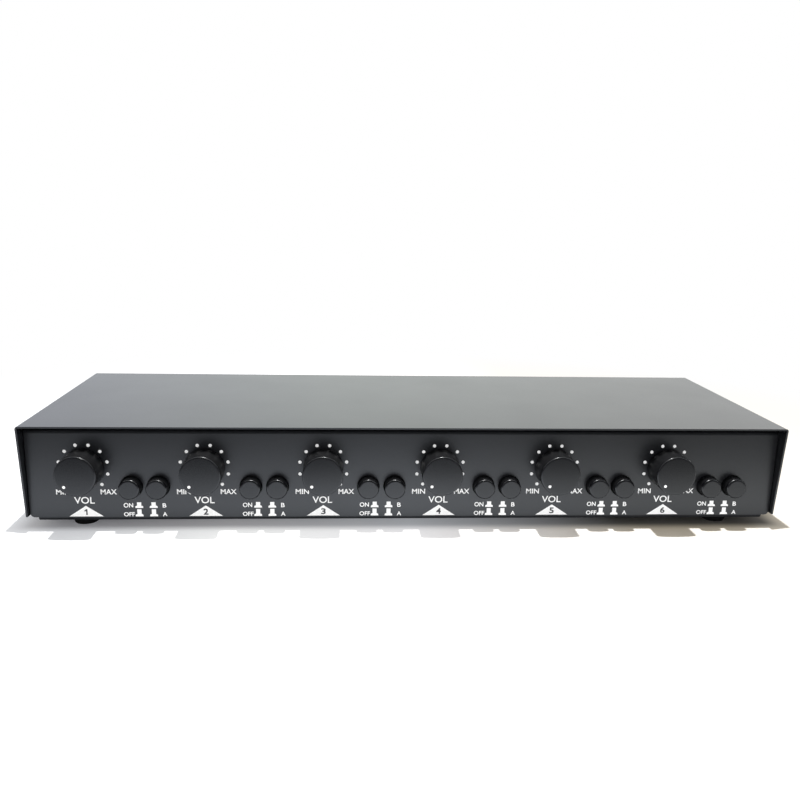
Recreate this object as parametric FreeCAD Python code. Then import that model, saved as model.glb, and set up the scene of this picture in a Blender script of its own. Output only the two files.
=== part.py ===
import FreeCAD, Part
import math
import os

# A six-zone speaker selector: a flat sheet-metal case with a volume dial and two push buttons for each zone.
# Millimetres. X runs along the front panel, Y from front to back and Z up from the floor.
# The origin lies on the floor, under the middle of the overall width and depth.

Vector = FreeCAD.Vector

# How far a cutting tool runs past what it cuts, and how near an edge counts as at a place
over = 1.0
tiny = 0.01

# Zones along the front panel
zone_count = 6
zone_pitch = 66.8
end_margin = 16.1
dial_offset = 16.2
dial_height = 31.4
on_off_offset = 25.75
button_web = 2.05
button_drop = 10.95

# Case
sheet = 1.0
bend_radius = 1.2
cover_bend_radius = 0.5
case_depth = 133.0
case_height = 57.25
cover_height = 53.85
cover_clearance = 0.4
cover_seat_gap = 2.7
visor_top = 7.8
visor_bottom = 2.9
rear_overhang = 4.0
return_flange = 8.0
corner_notch = 4.5
panel_corner_radius = 2.5
side_flange_height = 13.0
side_flange_inset = 8.0

# Feet
foot_height = 7.0
foot_top_radius = 8.25
foot_bottom_radius = 6.75
foot_edge_radius = 0.8
foot_recess_radius = 4.0
foot_recess_depth = 3.5
foot_inset_x = 26.5
foot_inset_y = 18.5

# Machine screws, 3 mm
screw_radius = 1.45
screw_head_radius = 2.8
screw_head_height = 1.8
screw_head_edge = 0.7
screw_hole_clearance = 0.15
screw_recess_arm = 1.7
screw_recess_width = 0.7
screw_recess_depth = 1.0
foot_screw_length = 8.0
cover_screw_length = 6.0
cover_screw_height = 8.5
cover_screw_inset = 30.0

# Volume knob
knob_projection = 15.4
knob_gap = 0.8
knob_base_radius = 11.4
knob_face_radius = 11.2
knob_edge_radius = 0.9
knob_wall = 1.9
knob_face_thickness = 2.0
knob_hub_radius = 5.0
knob_hub_gap = 1.2
knob_bore_lead = 0.8
pointer_radius = 8.5
pointer_dimple_radius = 0.85
pointer_dimple_depth = 0.25

# Rotary switch with ten positions
dial_positions = 10
dial_step = 30.0
shaft_radius = 3.0
shaft_flat = 1.5
shaft_tip_inset = 2.5
shaft_fit = 0.02
running_clearance = 0.05
bushing_radius = 4.5
bushing_length = 6.5
bushing_plate_thickness = 1.5
bushing_plate_inset = 0.4
locating_lug_width = 2.4
locating_lug_thickness = 1.2
locating_lug_length = 0.8
locating_lug_radius = 9.2
lug_clearance = 0.15
nut_across_flats = 12.0
nut_thickness = 2.2
washer_radius = 7.5
washer_thickness = 0.7
thread_clearance = 0.05
rotary_radius = 13.0
rotary_wall = 2.0
rotary_rear_wall = 2.5
rotor_radius = 9.5
rotor_thickness = 2.5
rotor_offset = 3.0
detent_radius = 0.8
wiper_width = 2.4
wiper_gap = 0.3
wiper_inset = 1.6
pivot_depth = 1.5

# Push switch and its cap
button_radius = 6.0
button_projection = 6.4
button_hole_clearance = 0.5
button_edge_radius = 1.3
button_wall = 1.2
button_face_thickness = 1.5
button_skirt = 4.0
button_travel = 3.0
button_hub_wall = 1.2
socket_clearance = 0.05
stem_size = 3.0
stem_slide_clearance = 0.1
stem_tip_thickness = 0.7
plunger_head_margin = 0.2
plunger_head_thickness = 1.5
stem_tail = 2.0
push_side_wall = 1.05
push_wall = 1.0
push_front_clearance = 1.0
push_cavity_clearance = 0.2
spring_wall = 0.5
spring_stem_clearance = 0.18
spring_clearance = 0.05

# Boards
board_thickness = 1.6
switch_board_setback = 17.0
switch_board_bottom = 18.0
switch_board_height = 38.0
switch_board_margin = 10.0
board_gap = 5.4
main_board_margin = 15.0
main_board_rear_gap = 1.0
standoff_height = 6.0
standoff_across_flats = 5.5
standoff_spigot_radius = 1.9
standoff_inset_x = 10.0
standoff_inset_y = 6.0
standoff_floor = 1.0
spigot_length = 0.8
board_screw_length = 5.0

# Solder pins
pin_size = 0.6
pin_clearance = 0.1
pin_tail = 2.0
rotary_pin_circle = 11.6
push_pin_row = 2.4
push_pin_pitch = 2.5

# Autoformer, core size EI-35
core_width = 35.0
core_height = 29.0
core_stack = 14.0
limb_width = 11.6
yoke = 5.8
bobbin_wall = 0.8
bobbin_overhang = 6.8
bobbin_clearance = 0.15
winding_inset = 0.5
winding_radius = 2.0
autoformer_pin_pitch = 8.0
autoformer_pins_per_rail = 3
autoformer_rows = 2
autoformer_front_gap = 6.0
autoformer_row_gap = 6.0

# Ribbon cable and its connectors
ribbon_width = 12.7
ribbon_thickness = 0.9
ribbon_bend_radius = 7.0
ribbon_lead = 2.0
ribbon_height = 51.0
connector_width = 16.5
connector_thickness = 5.0
connector_depth = 6.0

# Pluggable terminals, four poles at 5.08 mm
terminal_count = 8
terminal_pitch = 48.0
pole_count = 4
pole_pitch = 5.08
header_end_wall = 0.8
header_height = 8.6
header_depth = 12.0
header_wall = 0.9
header_rear_wall = 2.0
header_pin_size = 1.0
header_pin_length = 7.0
window_clearance = 0.3
plug_projection = 10.0
plug_height = 14.0
plug_drop = 0.6
plug_clearance = 0.15
plug_gap = 0.2
plug_edge = 0.8
tongue_length = 8.6
wire_entry_width = 3.4
wire_entry_height = 3.6
wire_entry_depth = 6.5
wire_entry_rise = 2.2
clamp_screw_radius = 1.6
clamp_screw_length = 4.0
clamp_screw_sink = 1.2
clamp_slot_width = 0.5
clamp_slot_depth = 0.8

# Places that follow from the sizes
case_width = zone_count * zone_pitch + 2 * end_margin
half_case = case_width / 2
overall_depth = knob_projection + case_depth + plug_projection
panel_y = -overall_depth / 2 + knob_projection
panel_back = panel_y + sheet
rear_y = panel_y + case_depth
tray_z = foot_height
floor_z = tray_z + sheet
top_z = tray_z + case_height
cover_bottom = top_z - cover_height
half_panel = half_case - sheet - cover_clearance
tray_top = top_z - sheet - cover_seat_gap
outer_bend = bend_radius + sheet
dial_z = tray_z + dial_height
button_z = dial_z - button_drop
dial_x = [-half_case + end_margin + dial_offset + zone_pitch * n for n in range(zone_count)]
button_hole_radius = button_radius + button_hole_clearance
source_offset = on_off_offset + 2 * button_hole_radius + button_web
screw_hole_radius = screw_radius + screw_hole_clearance
spring_inner_radius = stem_size / math.sqrt(2) + spring_stem_clearance
spring_outer_radius = spring_inner_radius + spring_wall
plunger_head = 2 * (spring_outer_radius + plunger_head_margin)
push_cavity = plunger_head + 2 * push_cavity_clearance
push_body = push_cavity + 2 * push_side_wall
button_hub = stem_size + 2 * button_hub_wall
zone_middle_x = [zone_pitch * (n - (zone_count - 1) / 2) for n in range(zone_count)]
switch_board_front = panel_y + switch_board_setback
switch_board_back = switch_board_front + board_thickness
board_z = floor_z + standoff_height
board_top = board_z + board_thickness
board_front = switch_board_back + board_gap
board_rear = rear_y - sheet - main_board_rear_gap
foot_x = half_case - foot_inset_x
foot_y = (panel_y + foot_inset_y, rear_y - foot_inset_y)
half_board = half_case - main_board_margin
standoff_x = (-half_board + standoff_inset_x, 0, half_board - standoff_inset_x)
standoff_y = (board_front + standoff_inset_y, board_rear - standoff_inset_y)
cover_screw_z = tray_z + cover_screw_height
cover_screw_y = (panel_y + cover_screw_inset, rear_y - cover_screw_inset)
terminal_x = [terminal_pitch * (n - (terminal_count - 1) / 2) for n in range(terminal_count)]
header_width = pole_count * pole_pitch + 2 * header_end_wall
header_front = rear_y - header_depth
header_cavity = header_front + header_rear_wall
pole_x = [pole_pitch * (n - (pole_count - 1) / 2) for n in range(pole_count)]


def box(x0, x1, y0, y1, z0, z1):
    """Block between two corners."""
    return Part.makeBox(x1 - x0, y1 - y0, z1 - z0, Vector(x0, y0, z0))


def block(x, z, width, height, y0, y1):
    """Block along Y with its section centred on x and z."""
    return box(x - width / 2, x + width / 2, y0, y1, z - height / 2, z + height / 2)


def rod(x, z, radius, y0, y1):
    """Round bar along Y."""
    return Part.makeCylinder(radius, y1 - y0, Vector(x, y0, z), Vector(0, 1, 0))


def post(x, y, radius, z0, z1):
    """Round bar along Z."""
    return Part.makeCylinder(radius, z1 - z0, Vector(x, y, z0))


def ring_y(x, z, outer, inner, y0, y1):
    """Tube along Y."""
    return rod(x, z, outer, y0, y1).cut(rod(x, z, inner, y0, y1))


def hexagon(across_flats, length):
    """Hexagonal bar that stands on the XY plane."""
    corner = across_flats / 2 / math.cos(math.pi / 6)
    turns = [math.radians(60 * n) for n in range(7)]
    points = [Vector(corner * math.cos(turn), corner * math.sin(turn), 0) for turn in turns]
    return Part.Face(Part.makePolygon(points)).extrude(Vector(0, 0, length))


def placed(shape, place, direction):
    """A copy whose +Z axis points along direction and whose origin is at place."""
    copy = shape.copy()
    copy.Placement = FreeCAD.Placement(place, FreeCAD.Rotation(Vector(0, 0, 1), direction))
    return copy


def moved(shape, x=0.0, y=0.0, z=0.0):
    """A copy moved along the axes."""
    return shape.translated(Vector(x, y, z))


def edges_at(shape, test):
    """Edges whose middle and direction pass the test."""
    return [e for e in shape.Edges if test(e.CenterOfMass, (e.lastVertex().Point - e.firstVertex().Point))]


def rounded_box(x0, x1, y0, y1, z0, z1, along, radius):
    """Block with its four edges along one axis rounded."""
    shape = box(x0, x1, y0, y1, z0, z1)
    edges = edges_at(shape, lambda middle, run: abs(getattr(run, along)) > 0.99 * run.Length)
    return shape.makeFillet(radius, edges)


def front_edge_rounded(shape, radius, y):
    """Rounds the outermost edge that lies in the plane at y."""
    edges = [e for e in shape.Edges if abs(e.BoundBox.YMin - y) < 1e-4 and abs(e.BoundBox.YMax - y) < 1e-4]
    widest = max(edges, key=lambda e: e.BoundBox.DiagonalLength)
    return shape.makeFillet(radius, [widest])


def save(name, solids):
    """Writes one sub-part, either a single solid or a group of separate ones."""
    shape = solids if isinstance(solids, Part.Shape) else Part.makeCompound(solids)
    shape.exportStep(f"parts/{name}.step")
    print(f"{name}: {len(shape.Solids)} solids, {shape.Volume / 1000:.2f} cm3, valid {shape.isValid()}")


def pan_screw(length):
    """Cross-recess pan-head screw: head above the XY plane, shank below it."""
    head = Part.makeCylinder(screw_head_radius, screw_head_height)
    rim = edges_at(head, lambda middle, run: middle.z > screw_head_height - tiny)
    head = head.makeFillet(screw_head_edge, rim)
    deep = screw_head_height - screw_recess_depth
    half = screw_recess_width / 2
    for width, depth in ((screw_recess_arm, half), (half, screw_recess_arm)):
        head = head.cut(box(-width, width, -depth, depth, deep, screw_head_height + over))
    shank = Part.makeCylinder(screw_radius, length, Vector(0, 0, -length))
    return head.fuse(shank).removeSplitter()


def make_case():
    """The folded tray and the folded cover, with every hole that the fitted pieces need."""
    shell = rounded_box(-half_panel, half_panel, panel_y, rear_y, tray_z, tray_top, "x", outer_bend)
    rear_inner_y = rear_y - sheet
    inner_z = (floor_z, tray_top - sheet)
    inside = rounded_box(-half_case, half_case, panel_back, rear_inner_y, *inner_z, "x", bend_radius)
    tray = shell.cut(inside)
    flange_front = panel_back + return_flange
    flange_rear = rear_inner_y - return_flange
    tray = tray.cut(box(-half_case, half_case, flange_front, flange_rear, tray_top - 2 * sheet, top_z))
    fold_top = tray_z + outer_bend
    for side in (-1, 1):
        x0, x1 = sorted((side * (half_panel - corner_notch), side * half_case))
        tray = tray.cut(box(x0, x1, panel_back, rear_inner_y, 0, tray_top - outer_bend))
        tray = tray.cut(box(x0, x1, panel_y - over, rear_y + over, 0, fold_top))
    corners = edges_at(
        tray,
        lambda middle, run: abs(abs(middle.x) - half_panel) < tiny
        and abs(middle.z - fold_top) < tiny
        and abs(run.y) > run.Length - tiny,
    )
    tray = tray.makeFillet(panel_corner_radius, corners)
    flange_y = (panel_y + side_flange_inset, rear_y - side_flange_inset)
    flange_z = tray_z + side_flange_height
    inner_x = half_panel - sheet
    above_z = flange_z + 2 * outer_bend
    sides = rounded_box(-half_panel, half_panel, *flange_y, tray_z, above_z, "y", outer_bend)
    hollow = rounded_box(-inner_x, inner_x, *flange_y, floor_z, above_z + outer_bend, "y", bend_radius)
    sides = sides.cut(hollow).cut(box(-half_case, half_case, *flange_y, flange_z, above_z))
    tray = tray.fuse(sides).removeSplitter()

    holes = []
    through_panel = (panel_y - over, panel_back + over)
    through_floor = (tray_z - over, floor_z + over)
    lug_width = locating_lug_width + 2 * lug_clearance
    lug_height = locating_lug_thickness + 2 * lug_clearance
    lug_z = dial_z + locating_lug_radius
    for x in dial_x:
        holes.append(rod(x, dial_z, bushing_radius + thread_clearance, *through_panel))
        holes.append(block(x, lug_z, lug_width, lug_height, *through_panel))
        for offset in (on_off_offset, source_offset):
            holes.append(rod(x + offset, button_z, button_hole_radius, *through_panel))
    for x in (-foot_x, foot_x):
        for y in foot_y:
            holes.append(post(x, y, screw_hole_radius, *through_floor))
    for x in standoff_x:
        for y in standoff_y:
            holes.append(post(x, y, standoff_spigot_radius + thread_clearance, *through_floor))
    for x in terminal_x:
        half = header_width / 2 + window_clearance
        low, high = board_top - window_clearance, board_top + header_height + window_clearance
        holes.append(box(x - half, x + half, rear_y - sheet - over, rear_y + over, low, high))
    cross = Part.makeCylinder(screw_hole_radius, 2 * case_width, Vector(-case_width, 0, 0), Vector(1, 0, 0))
    side_holes = [moved(cross, 0, y, cover_screw_z) for y in cover_screw_y]
    save("chassis_tray", tray.cut(Part.makeCompound(holes + side_holes)))

    front, back = panel_y - visor_top, rear_y + rear_overhang
    inner = (-half_case + sheet, half_case - sheet)
    cover = rounded_box(-half_case, half_case, front, back, 0, top_z, "y", cover_bend_radius + sheet)
    room = rounded_box(*inner, front, back, 0, top_z - sheet, "y", cover_bend_radius)
    cover = cover.cut(room).cut(box(-case_width, case_width, front, back, 0, cover_bottom))
    slant = Part.Face(
        Part.makePolygon(
            [
                Vector(-case_width, front - over, top_z),
                Vector(-case_width, front, top_z),
                Vector(-case_width, panel_y - visor_bottom, cover_bottom),
                Vector(-case_width, front - over, cover_bottom),
                Vector(-case_width, front - over, top_z),
            ]
        )
    ).extrude(Vector(2 * case_width, 0, 0))
    save("top_cover", cover.cut(slant).cut(Part.makeCompound(side_holes)))


def make_feet_and_screws():
    """Rubber feet under the tray, and the screws that hold the feet and the cover."""
    foot = Part.makeCone(foot_bottom_radius, foot_top_radius, foot_height)
    rim = edges_at(foot, lambda middle, run: middle.z < tiny)
    foot = foot.makeFillet(foot_edge_radius, rim)
    foot = foot.cut(post(0, 0, foot_recess_radius, -over, foot_recess_depth))
    foot = foot.cut(post(0, 0, screw_hole_radius, 0, foot_height + over))
    places = [(x, y) for x in (-foot_x, foot_x) for y in foot_y]
    save("rubber_feet", [moved(foot, x, y) for x, y in places])
    foot_screw = pan_screw(foot_screw_length)
    down = Vector(0, 0, -1)
    save("foot_screws", [placed(foot_screw, Vector(x, y, foot_recess_depth), down) for x, y in places])
    cover_screw = pan_screw(cover_screw_length)
    save(
        "cover_screws",
        [
            placed(cover_screw, Vector(side * half_case, y, cover_screw_z), Vector(side, 0, 0))
            for side in (-1, 1)
            for y in cover_screw_y
        ],
    )


def flatted_rod(radius, flat, y0, y1):
    """Round bar along Y with a flat on its upper side."""
    bar = rod(0, 0, radius, y0, y1)
    return bar.cut(box(-2 * radius, 2 * radius, y0, y1, flat, 2 * radius))


def make_rotary_switches():
    """The volume knobs and the rotary switches behind them."""
    face_y = panel_y - knob_projection
    base_y = panel_y - knob_gap
    cavity_y = face_y + knob_face_thickness
    hub_y = panel_y - bushing_length - knob_hub_gap
    tip_y = face_y + shaft_tip_inset
    flat_y = hub_y + knob_bore_lead

    knob = Part.makeCone(
        knob_face_radius, knob_base_radius, base_y - face_y, Vector(0, face_y, 0), Vector(0, 1, 0)
    )
    knob = front_edge_rounded(knob, knob_edge_radius, face_y)
    cavity_radius = knob_base_radius - knob_wall
    knob = knob.cut(ring_y(0, 0, cavity_radius, knob_hub_radius, cavity_y, hub_y + over))
    knob = knob.cut(rod(0, 0, cavity_radius, hub_y, base_y + over))
    bore_y = (tip_y - shaft_fit, hub_y + over)
    knob = knob.cut(flatted_rod(shaft_radius + shaft_fit, shaft_flat + shaft_fit, *bore_y))
    start = math.radians(dial_step * (dial_positions - 1) / 2)
    dot_x, dot_z = -pointer_radius * math.sin(start), pointer_radius * math.cos(start)
    knob = knob.cut(rod(dot_x, dot_z, pointer_dimple_radius, face_y - over, face_y + pointer_dimple_depth))

    housing_y = panel_back + bushing_plate_thickness
    rear_wall_y = switch_board_front - rotary_rear_wall
    pivot_y = rear_wall_y + pivot_depth
    bushing = rod(0, 0, rotary_radius - bushing_plate_inset, panel_back, housing_y)
    bushing = bushing.fuse(rod(0, 0, bushing_radius, panel_y - bushing_length, panel_back))
    lug_end = panel_back - locating_lug_length
    lug = block(0, locating_lug_radius, locating_lug_width, locating_lug_thickness, lug_end, panel_back)
    bushing = bushing.fuse(lug).removeSplitter()
    bore = shaft_radius + running_clearance
    bushing = bushing.cut(rod(0, 0, bore, panel_y - bushing_length - over, housing_y + over))

    housing = rod(0, 0, rotary_radius, housing_y, switch_board_front)
    housing = housing.cut(rod(0, 0, rotary_radius - rotary_wall, housing_y - over, rear_wall_y))
    housing = housing.cut(rod(0, 0, bore, rear_wall_y - over, pivot_y + running_clearance))

    rotor_y = housing_y + rotor_offset
    rotor = rod(0, 0, rotor_radius, rotor_y, rotor_y + rotor_thickness)
    notches = []
    for n in range(round(360 / dial_step)):
        turn = math.radians(dial_step * (n + 0.5))
        x, z = rotor_radius * math.sin(turn), rotor_radius * math.cos(turn)
        notches.append(rod(x, z, detent_radius, rotor_y - over, rotor_y + rotor_thickness + over))
    rotor = rotor.cut(Part.makeCompound(notches))
    arm = box(
        -wiper_width / 2, wiper_width / 2, rotor_y + rotor_thickness / 2, rear_wall_y - wiper_gap,
        shaft_radius - wiper_inset, rotor_radius - wiper_inset,
    )
    arm.rotate(Vector(0, 0, 0), Vector(0, 1, 0), -math.degrees(start))
    spindle = rod(0, 0, shaft_radius, flat_y, pivot_y)
    tip = flatted_rod(shaft_radius, shaft_flat, tip_y, flat_y)
    shaft = spindle.fuse([tip, rotor, arm]).removeSplitter()

    thread = bushing_radius + thread_clearance
    washer_y = panel_y - washer_thickness
    washer = ring_y(0, 0, washer_radius, thread, washer_y, panel_y)
    nut = placed(hexagon(nut_across_flats, nut_thickness), Vector(0, washer_y, 0), Vector(0, -1, 0))
    nut = nut.cut(rod(0, 0, thread, panel_y - knob_projection, panel_y))

    for n, x in enumerate(dial_x, 1):
        save(f"volume_knob_{n}", moved(knob, x, 0, dial_z))
        save(f"switch_shaft_{n}", moved(shaft, x, 0, dial_z))
    save("rotary_switch_bushings", [moved(bushing, x, 0, dial_z) for x in dial_x])
    save("rotary_switch_housings", [moved(housing, x, 0, dial_z) for x in dial_x])
    save("bushing_washers", [moved(washer, x, 0, dial_z) for x in dial_x])
    save("bushing_nuts", [moved(nut, x, 0, dial_z) for x in dial_x])


def make_push_switches():
    """The button caps and the push switches behind them."""
    face_y = panel_y - button_projection
    skirt_y = panel_y + button_skirt
    body_y = skirt_y + button_travel + push_front_clearance
    cap = rod(0, 0, button_radius, face_y, skirt_y)
    cap = front_edge_rounded(cap, button_edge_radius, face_y)
    hollow_y = face_y + button_face_thickness
    hollow = rod(0, 0, button_radius - button_wall, hollow_y, skirt_y + over)
    cap = cap.cut(hollow.cut(block(0, 0, button_hub, button_hub, hollow_y, skirt_y + over)))
    socket = stem_size + 2 * socket_clearance
    tip_y = hollow_y + stem_tip_thickness
    cap = cap.cut(block(0, 0, socket, socket, tip_y - socket_clearance, skirt_y + over))

    housing = block(0, 0, push_body, push_body, body_y, switch_board_front)
    cavity_y = body_y + push_wall
    cavity_end = switch_board_front - push_wall
    housing = housing.cut(block(0, 0, push_cavity, push_cavity, cavity_y, cavity_end))
    guide = stem_size + 2 * stem_slide_clearance
    housing = housing.cut(block(0, 0, guide, guide, body_y - over, cavity_y + over))

    head_y = cavity_y + spring_clearance
    head_back = head_y + plunger_head_thickness
    plunger = block(0, 0, stem_size, stem_size, tip_y, head_back + stem_tail)
    plunger = plunger.fuse(block(0, 0, plunger_head, plunger_head, head_y, head_back)).removeSplitter()
    spring_y = (head_back + spring_clearance, cavity_end - spring_clearance)
    spring = ring_y(0, 0, spring_outer_radius, spring_inner_radius, *spring_y)

    places = []
    for name, offset in (("on_off", on_off_offset), ("source", source_offset)):
        for n, x in enumerate(dial_x, 1):
            save(f"{name}_button_{n}", moved(cap, x + offset, 0, button_z))
            save(f"{name}_plunger_{n}", moved(plunger, x + offset, 0, button_z))
            places.append(x + offset)
    save("push_switch_housings", [moved(housing, x, 0, button_z) for x in places])
    save("push_switch_springs", [moved(spring, x, 0, button_z) for x in places])


def make_switch_board():
    """The upright board that carries the switches, and the switches' solder pins."""
    places = []
    for x in dial_x:
        for n in range(dial_positions + 1):
            turn = math.radians(dial_step * (n - (dial_positions - 1) / 2))
            radius = rotary_pin_circle if n < dial_positions else 0
            places.append((x + radius * math.sin(turn), dial_z + radius * math.cos(turn)))
        for offset in (on_off_offset, source_offset):
            for column in (-1, 1):
                for row in (-1, 0, 1):
                    places.append((x + offset + column * push_pin_row, button_z + row * push_pin_pitch))
    slot = pin_size + 2 * pin_clearance
    pin_end = switch_board_back + pin_tail
    pins = [block(x, z, pin_size, pin_size, switch_board_front, pin_end) for x, z in places]
    slots = [block(x, z, slot, slot, switch_board_front - over, switch_board_back + over) for x, z in places]
    half = half_case - switch_board_margin
    top = switch_board_bottom + switch_board_height
    board = box(-half, half, switch_board_front, switch_board_back, switch_board_bottom, top)
    save("switch_board", board.cut(Part.makeCompound(slots)))
    save("switch_pins", pins)


def make_main_board():
    """The main board, its standoffs and screws, and the autoformers on it."""
    depth = core_stack + 2 * bobbin_overhang
    first = board_front + standoff_inset_y + connector_depth + autoformer_front_gap + depth / 2
    rows = [first + (depth + autoformer_row_gap) * n for n in range(autoformer_rows)]
    places = [(x, y) for x in zone_middle_x for y in rows]

    limb = limb_width / 2
    window_outer = core_width / 2 - yoke
    window_z = (yoke, core_height - yoke)
    half_stack = core_stack / 2
    core = box(-core_width / 2, core_width / 2, -half_stack, half_stack, 0, core_height)
    core = core.cut(box(limb, window_outer, -half_stack, half_stack, *window_z))
    core = core.cut(box(-window_outer, -limb, -half_stack, half_stack, *window_z))

    gap = bobbin_clearance
    tube_x, tube_y = limb + gap + bobbin_wall, half_stack + gap + bobbin_wall
    reach_x, reach_y = window_outer - gap, half_stack + bobbin_overhang
    low, high = window_z[0] + gap, window_z[1] - gap
    bobbin = box(-tube_x, tube_x, -tube_y, tube_y, low, high)
    for z in (low, high - bobbin_wall):
        bobbin = bobbin.fuse(box(-reach_x, reach_x, -reach_y, reach_y, z, z + bobbin_wall))
    rail_y = half_stack + gap
    pins = []
    for side in (-1, 1):
        y0, y1 = sorted((side * rail_y, side * reach_y))
        bobbin = bobbin.fuse(box(-reach_x, reach_x, y0, y1, 0, low + bobbin_wall))
        pins += [
            ((n - (autoformer_pins_per_rail - 1) / 2) * autoformer_pin_pitch, side * (rail_y + reach_y) / 2)
            for n in range(autoformer_pins_per_rail)
        ]
    pin = pin_size / 2
    for x, y in pins:
        bobbin = bobbin.fuse(box(x - pin, x + pin, y - pin, y + pin, -board_thickness - pin_tail, 0))
    well = box(-limb - gap, limb + gap, -half_stack - gap, half_stack + gap, low - over, high + over)
    bobbin = bobbin.cut(well).removeSplitter()

    coil_x, coil_y = reach_x - winding_inset, reach_y - winding_inset
    winding = rounded_box(
        -coil_x, coil_x, -coil_y, coil_y, low + bobbin_wall, high - bobbin_wall, "z", winding_radius
    )
    winding = winding.cut(box(-tube_x, tube_x, -tube_y, tube_y, low, high))

    for name, shape in (("cores", core), ("bobbins", bobbin), ("windings", winding)):
        save(f"autoformer_{name}", [moved(shape, x, y, board_top) for x, y in places])

    slots = []
    through_board = (board_z - over, board_top + over)
    slot = pin + pin_clearance
    for centre_x, centre_y in places:
        for x, y in pins:
            x, y = centre_x + x, centre_y + y
            slots.append(box(x - slot, x + slot, y - slot, y + slot, *through_board))
    for centre_x in terminal_x:
        for x in pole_x:
            x, y = centre_x + x, header_front + header_rear_wall
            slot = header_pin_size / 2 + pin_clearance
            slots.append(box(x - slot, x + slot, y - slot, y + slot, *through_board))
    for x in standoff_x:
        for y in standoff_y:
            slots.append(post(x, y, screw_hole_radius, *through_board))
    board = box(-half_board, half_board, board_front, board_rear, board_z, board_top)
    save("main_board", board.cut(Part.makeCompound(slots)))

    standoff = hexagon(standoff_across_flats, standoff_height)
    standoff = standoff.fuse(post(0, 0, standoff_spigot_radius, -spigot_length, 0)).removeSplitter()
    thread = screw_radius + thread_clearance
    standoff = standoff.cut(post(0, 0, thread, standoff_floor, standoff_height + over))
    seats = [(x, y) for x in standoff_x for y in standoff_y]
    save("board_standoffs", [moved(standoff, x, y, floor_z) for x, y in seats])
    screw = pan_screw(board_screw_length)
    save("board_screws", [moved(screw, x, y, board_top) for x, y in seats])


def make_ribbons():
    """Ribbon cables that run from the switch board down to the main board, with a connector at each end."""
    bend_z = ribbon_height - ribbon_bend_radius
    lead_y = switch_board_back + connector_depth
    bend_y = lead_y + ribbon_lead
    drop_y = bend_y + ribbon_bend_radius
    half_width, half = ribbon_width / 2, ribbon_thickness / 2
    floor_connector = board_top + connector_depth
    bend = Part.makeCylinder(
        ribbon_bend_radius + half, ribbon_width, Vector(-half_width, bend_y, bend_z), Vector(1, 0, 0)
    )
    bend = bend.cut(
        Part.makeCylinder(
            ribbon_bend_radius - half, ribbon_width, Vector(-half_width, bend_y, bend_z), Vector(1, 0, 0)
        )
    )
    reach = 2 * ribbon_bend_radius
    bend = bend.common(box(-half_width, half_width, bend_y, bend_y + reach, bend_z, bend_z + reach))
    lead = box(-half_width, half_width, lead_y, bend_y, ribbon_height - half, ribbon_height + half)
    drop = box(-half_width, half_width, drop_y - half, drop_y + half, floor_connector, bend_z)
    ribbon = lead.fuse([bend, drop]).removeSplitter()

    wide, thick = connector_width / 2, connector_thickness / 2
    upper = box(-wide, wide, switch_board_back, lead_y, ribbon_height - thick, ribbon_height + thick)
    lower = box(-wide, wide, drop_y - thick, drop_y + thick, board_top, floor_connector)
    save("zone_ribbons", [moved(ribbon, x) for x in zone_middle_x])
    save("ribbon_connectors", [moved(shape, x) for x in zone_middle_x for shape in (upper, lower)])


def make_terminals():
    """Board headers in the rear windows, the plugs in them and the plugs' clamping screws."""
    half = header_width / 2
    header_top = board_top + header_height
    cavity = (-half + header_wall, half - header_wall)
    cavity_z = (board_top + header_wall, header_top - header_wall)
    middle_z = (cavity_z[0] + cavity_z[1]) / 2
    header = box(-half, half, header_front, rear_y, board_top, header_top)
    header = header.cut(box(*cavity, header_cavity, rear_y + over, *cavity_z))
    pin = header_pin_size
    for x in pole_x:
        contact_end = header_cavity + header_pin_length
        header = header.fuse(block(x, middle_z, pin, pin, header_cavity - pin / 2, contact_end))
        tail = box(
            x - pin / 2, x + pin / 2, header_cavity - pin / 2, header_cavity + pin / 2,
            board_z - pin_tail, board_top,
        )
        header = header.fuse(tail)
    header = header.removeSplitter()

    outer_y = rear_y + plug_gap
    end_y = rear_y + plug_projection
    low = board_top - plug_drop
    plug = box(-half + plug_gap, half - plug_gap, outer_y, end_y, low, low + plug_height)
    top_edges = edges_at(plug, lambda middle, run: middle.z > low + plug_height - tiny and abs(run.x) > over)
    plug = plug.makeChamfer(plug_edge, top_edges)
    tongue = box(
        cavity[0] + plug_clearance, cavity[1] - plug_clearance, outer_y - tongue_length, outer_y,
        cavity_z[0] + plug_clearance, cavity_z[1] - plug_clearance,
    )
    plug = plug.fuse(tongue).removeSplitter()
    entry_z = low + wire_entry_rise + wire_entry_height / 2
    entry_y = end_y - wire_entry_depth
    clamp_y = (outer_y + end_y) / 2
    socket = pin + 2 * plug_clearance
    socket_y = (outer_y - tongue_length - over, header_cavity + header_pin_length + plug_clearance)
    bore = clamp_screw_radius + thread_clearance
    screws = []
    for x in pole_x:
        plug = plug.cut(block(x, entry_z, wire_entry_width, wire_entry_height, entry_y, end_y + over))
        plug = plug.cut(block(x, middle_z, socket, socket, *socket_y))
        plug = plug.cut(post(x, clamp_y, bore, entry_z, low + plug_height + over))
        screw_top = low + plug_height - clamp_screw_sink
        screw = post(x, clamp_y, clamp_screw_radius, screw_top - clamp_screw_length, screw_top)
        slot = box(
            x - 2 * clamp_screw_radius, x + 2 * clamp_screw_radius,
            clamp_y - clamp_slot_width / 2, clamp_y + clamp_slot_width / 2,
            screw_top - clamp_slot_depth, screw_top + over,
        )
        screws.append(screw.cut(slot))

    save("terminal_headers", [moved(header, x) for x in terminal_x])
    save("terminal_plugs", [moved(plug, x) for x in terminal_x])
    save("terminal_screws", [moved(screw, x) for x in terminal_x for screw in screws])


os.makedirs("parts", exist_ok=True)
make_case()
make_feet_and_screws()
make_rotary_switches()
make_push_switches()
make_switch_board()
make_main_board()
make_ribbons()
make_terminals()
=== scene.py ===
import math

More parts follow.
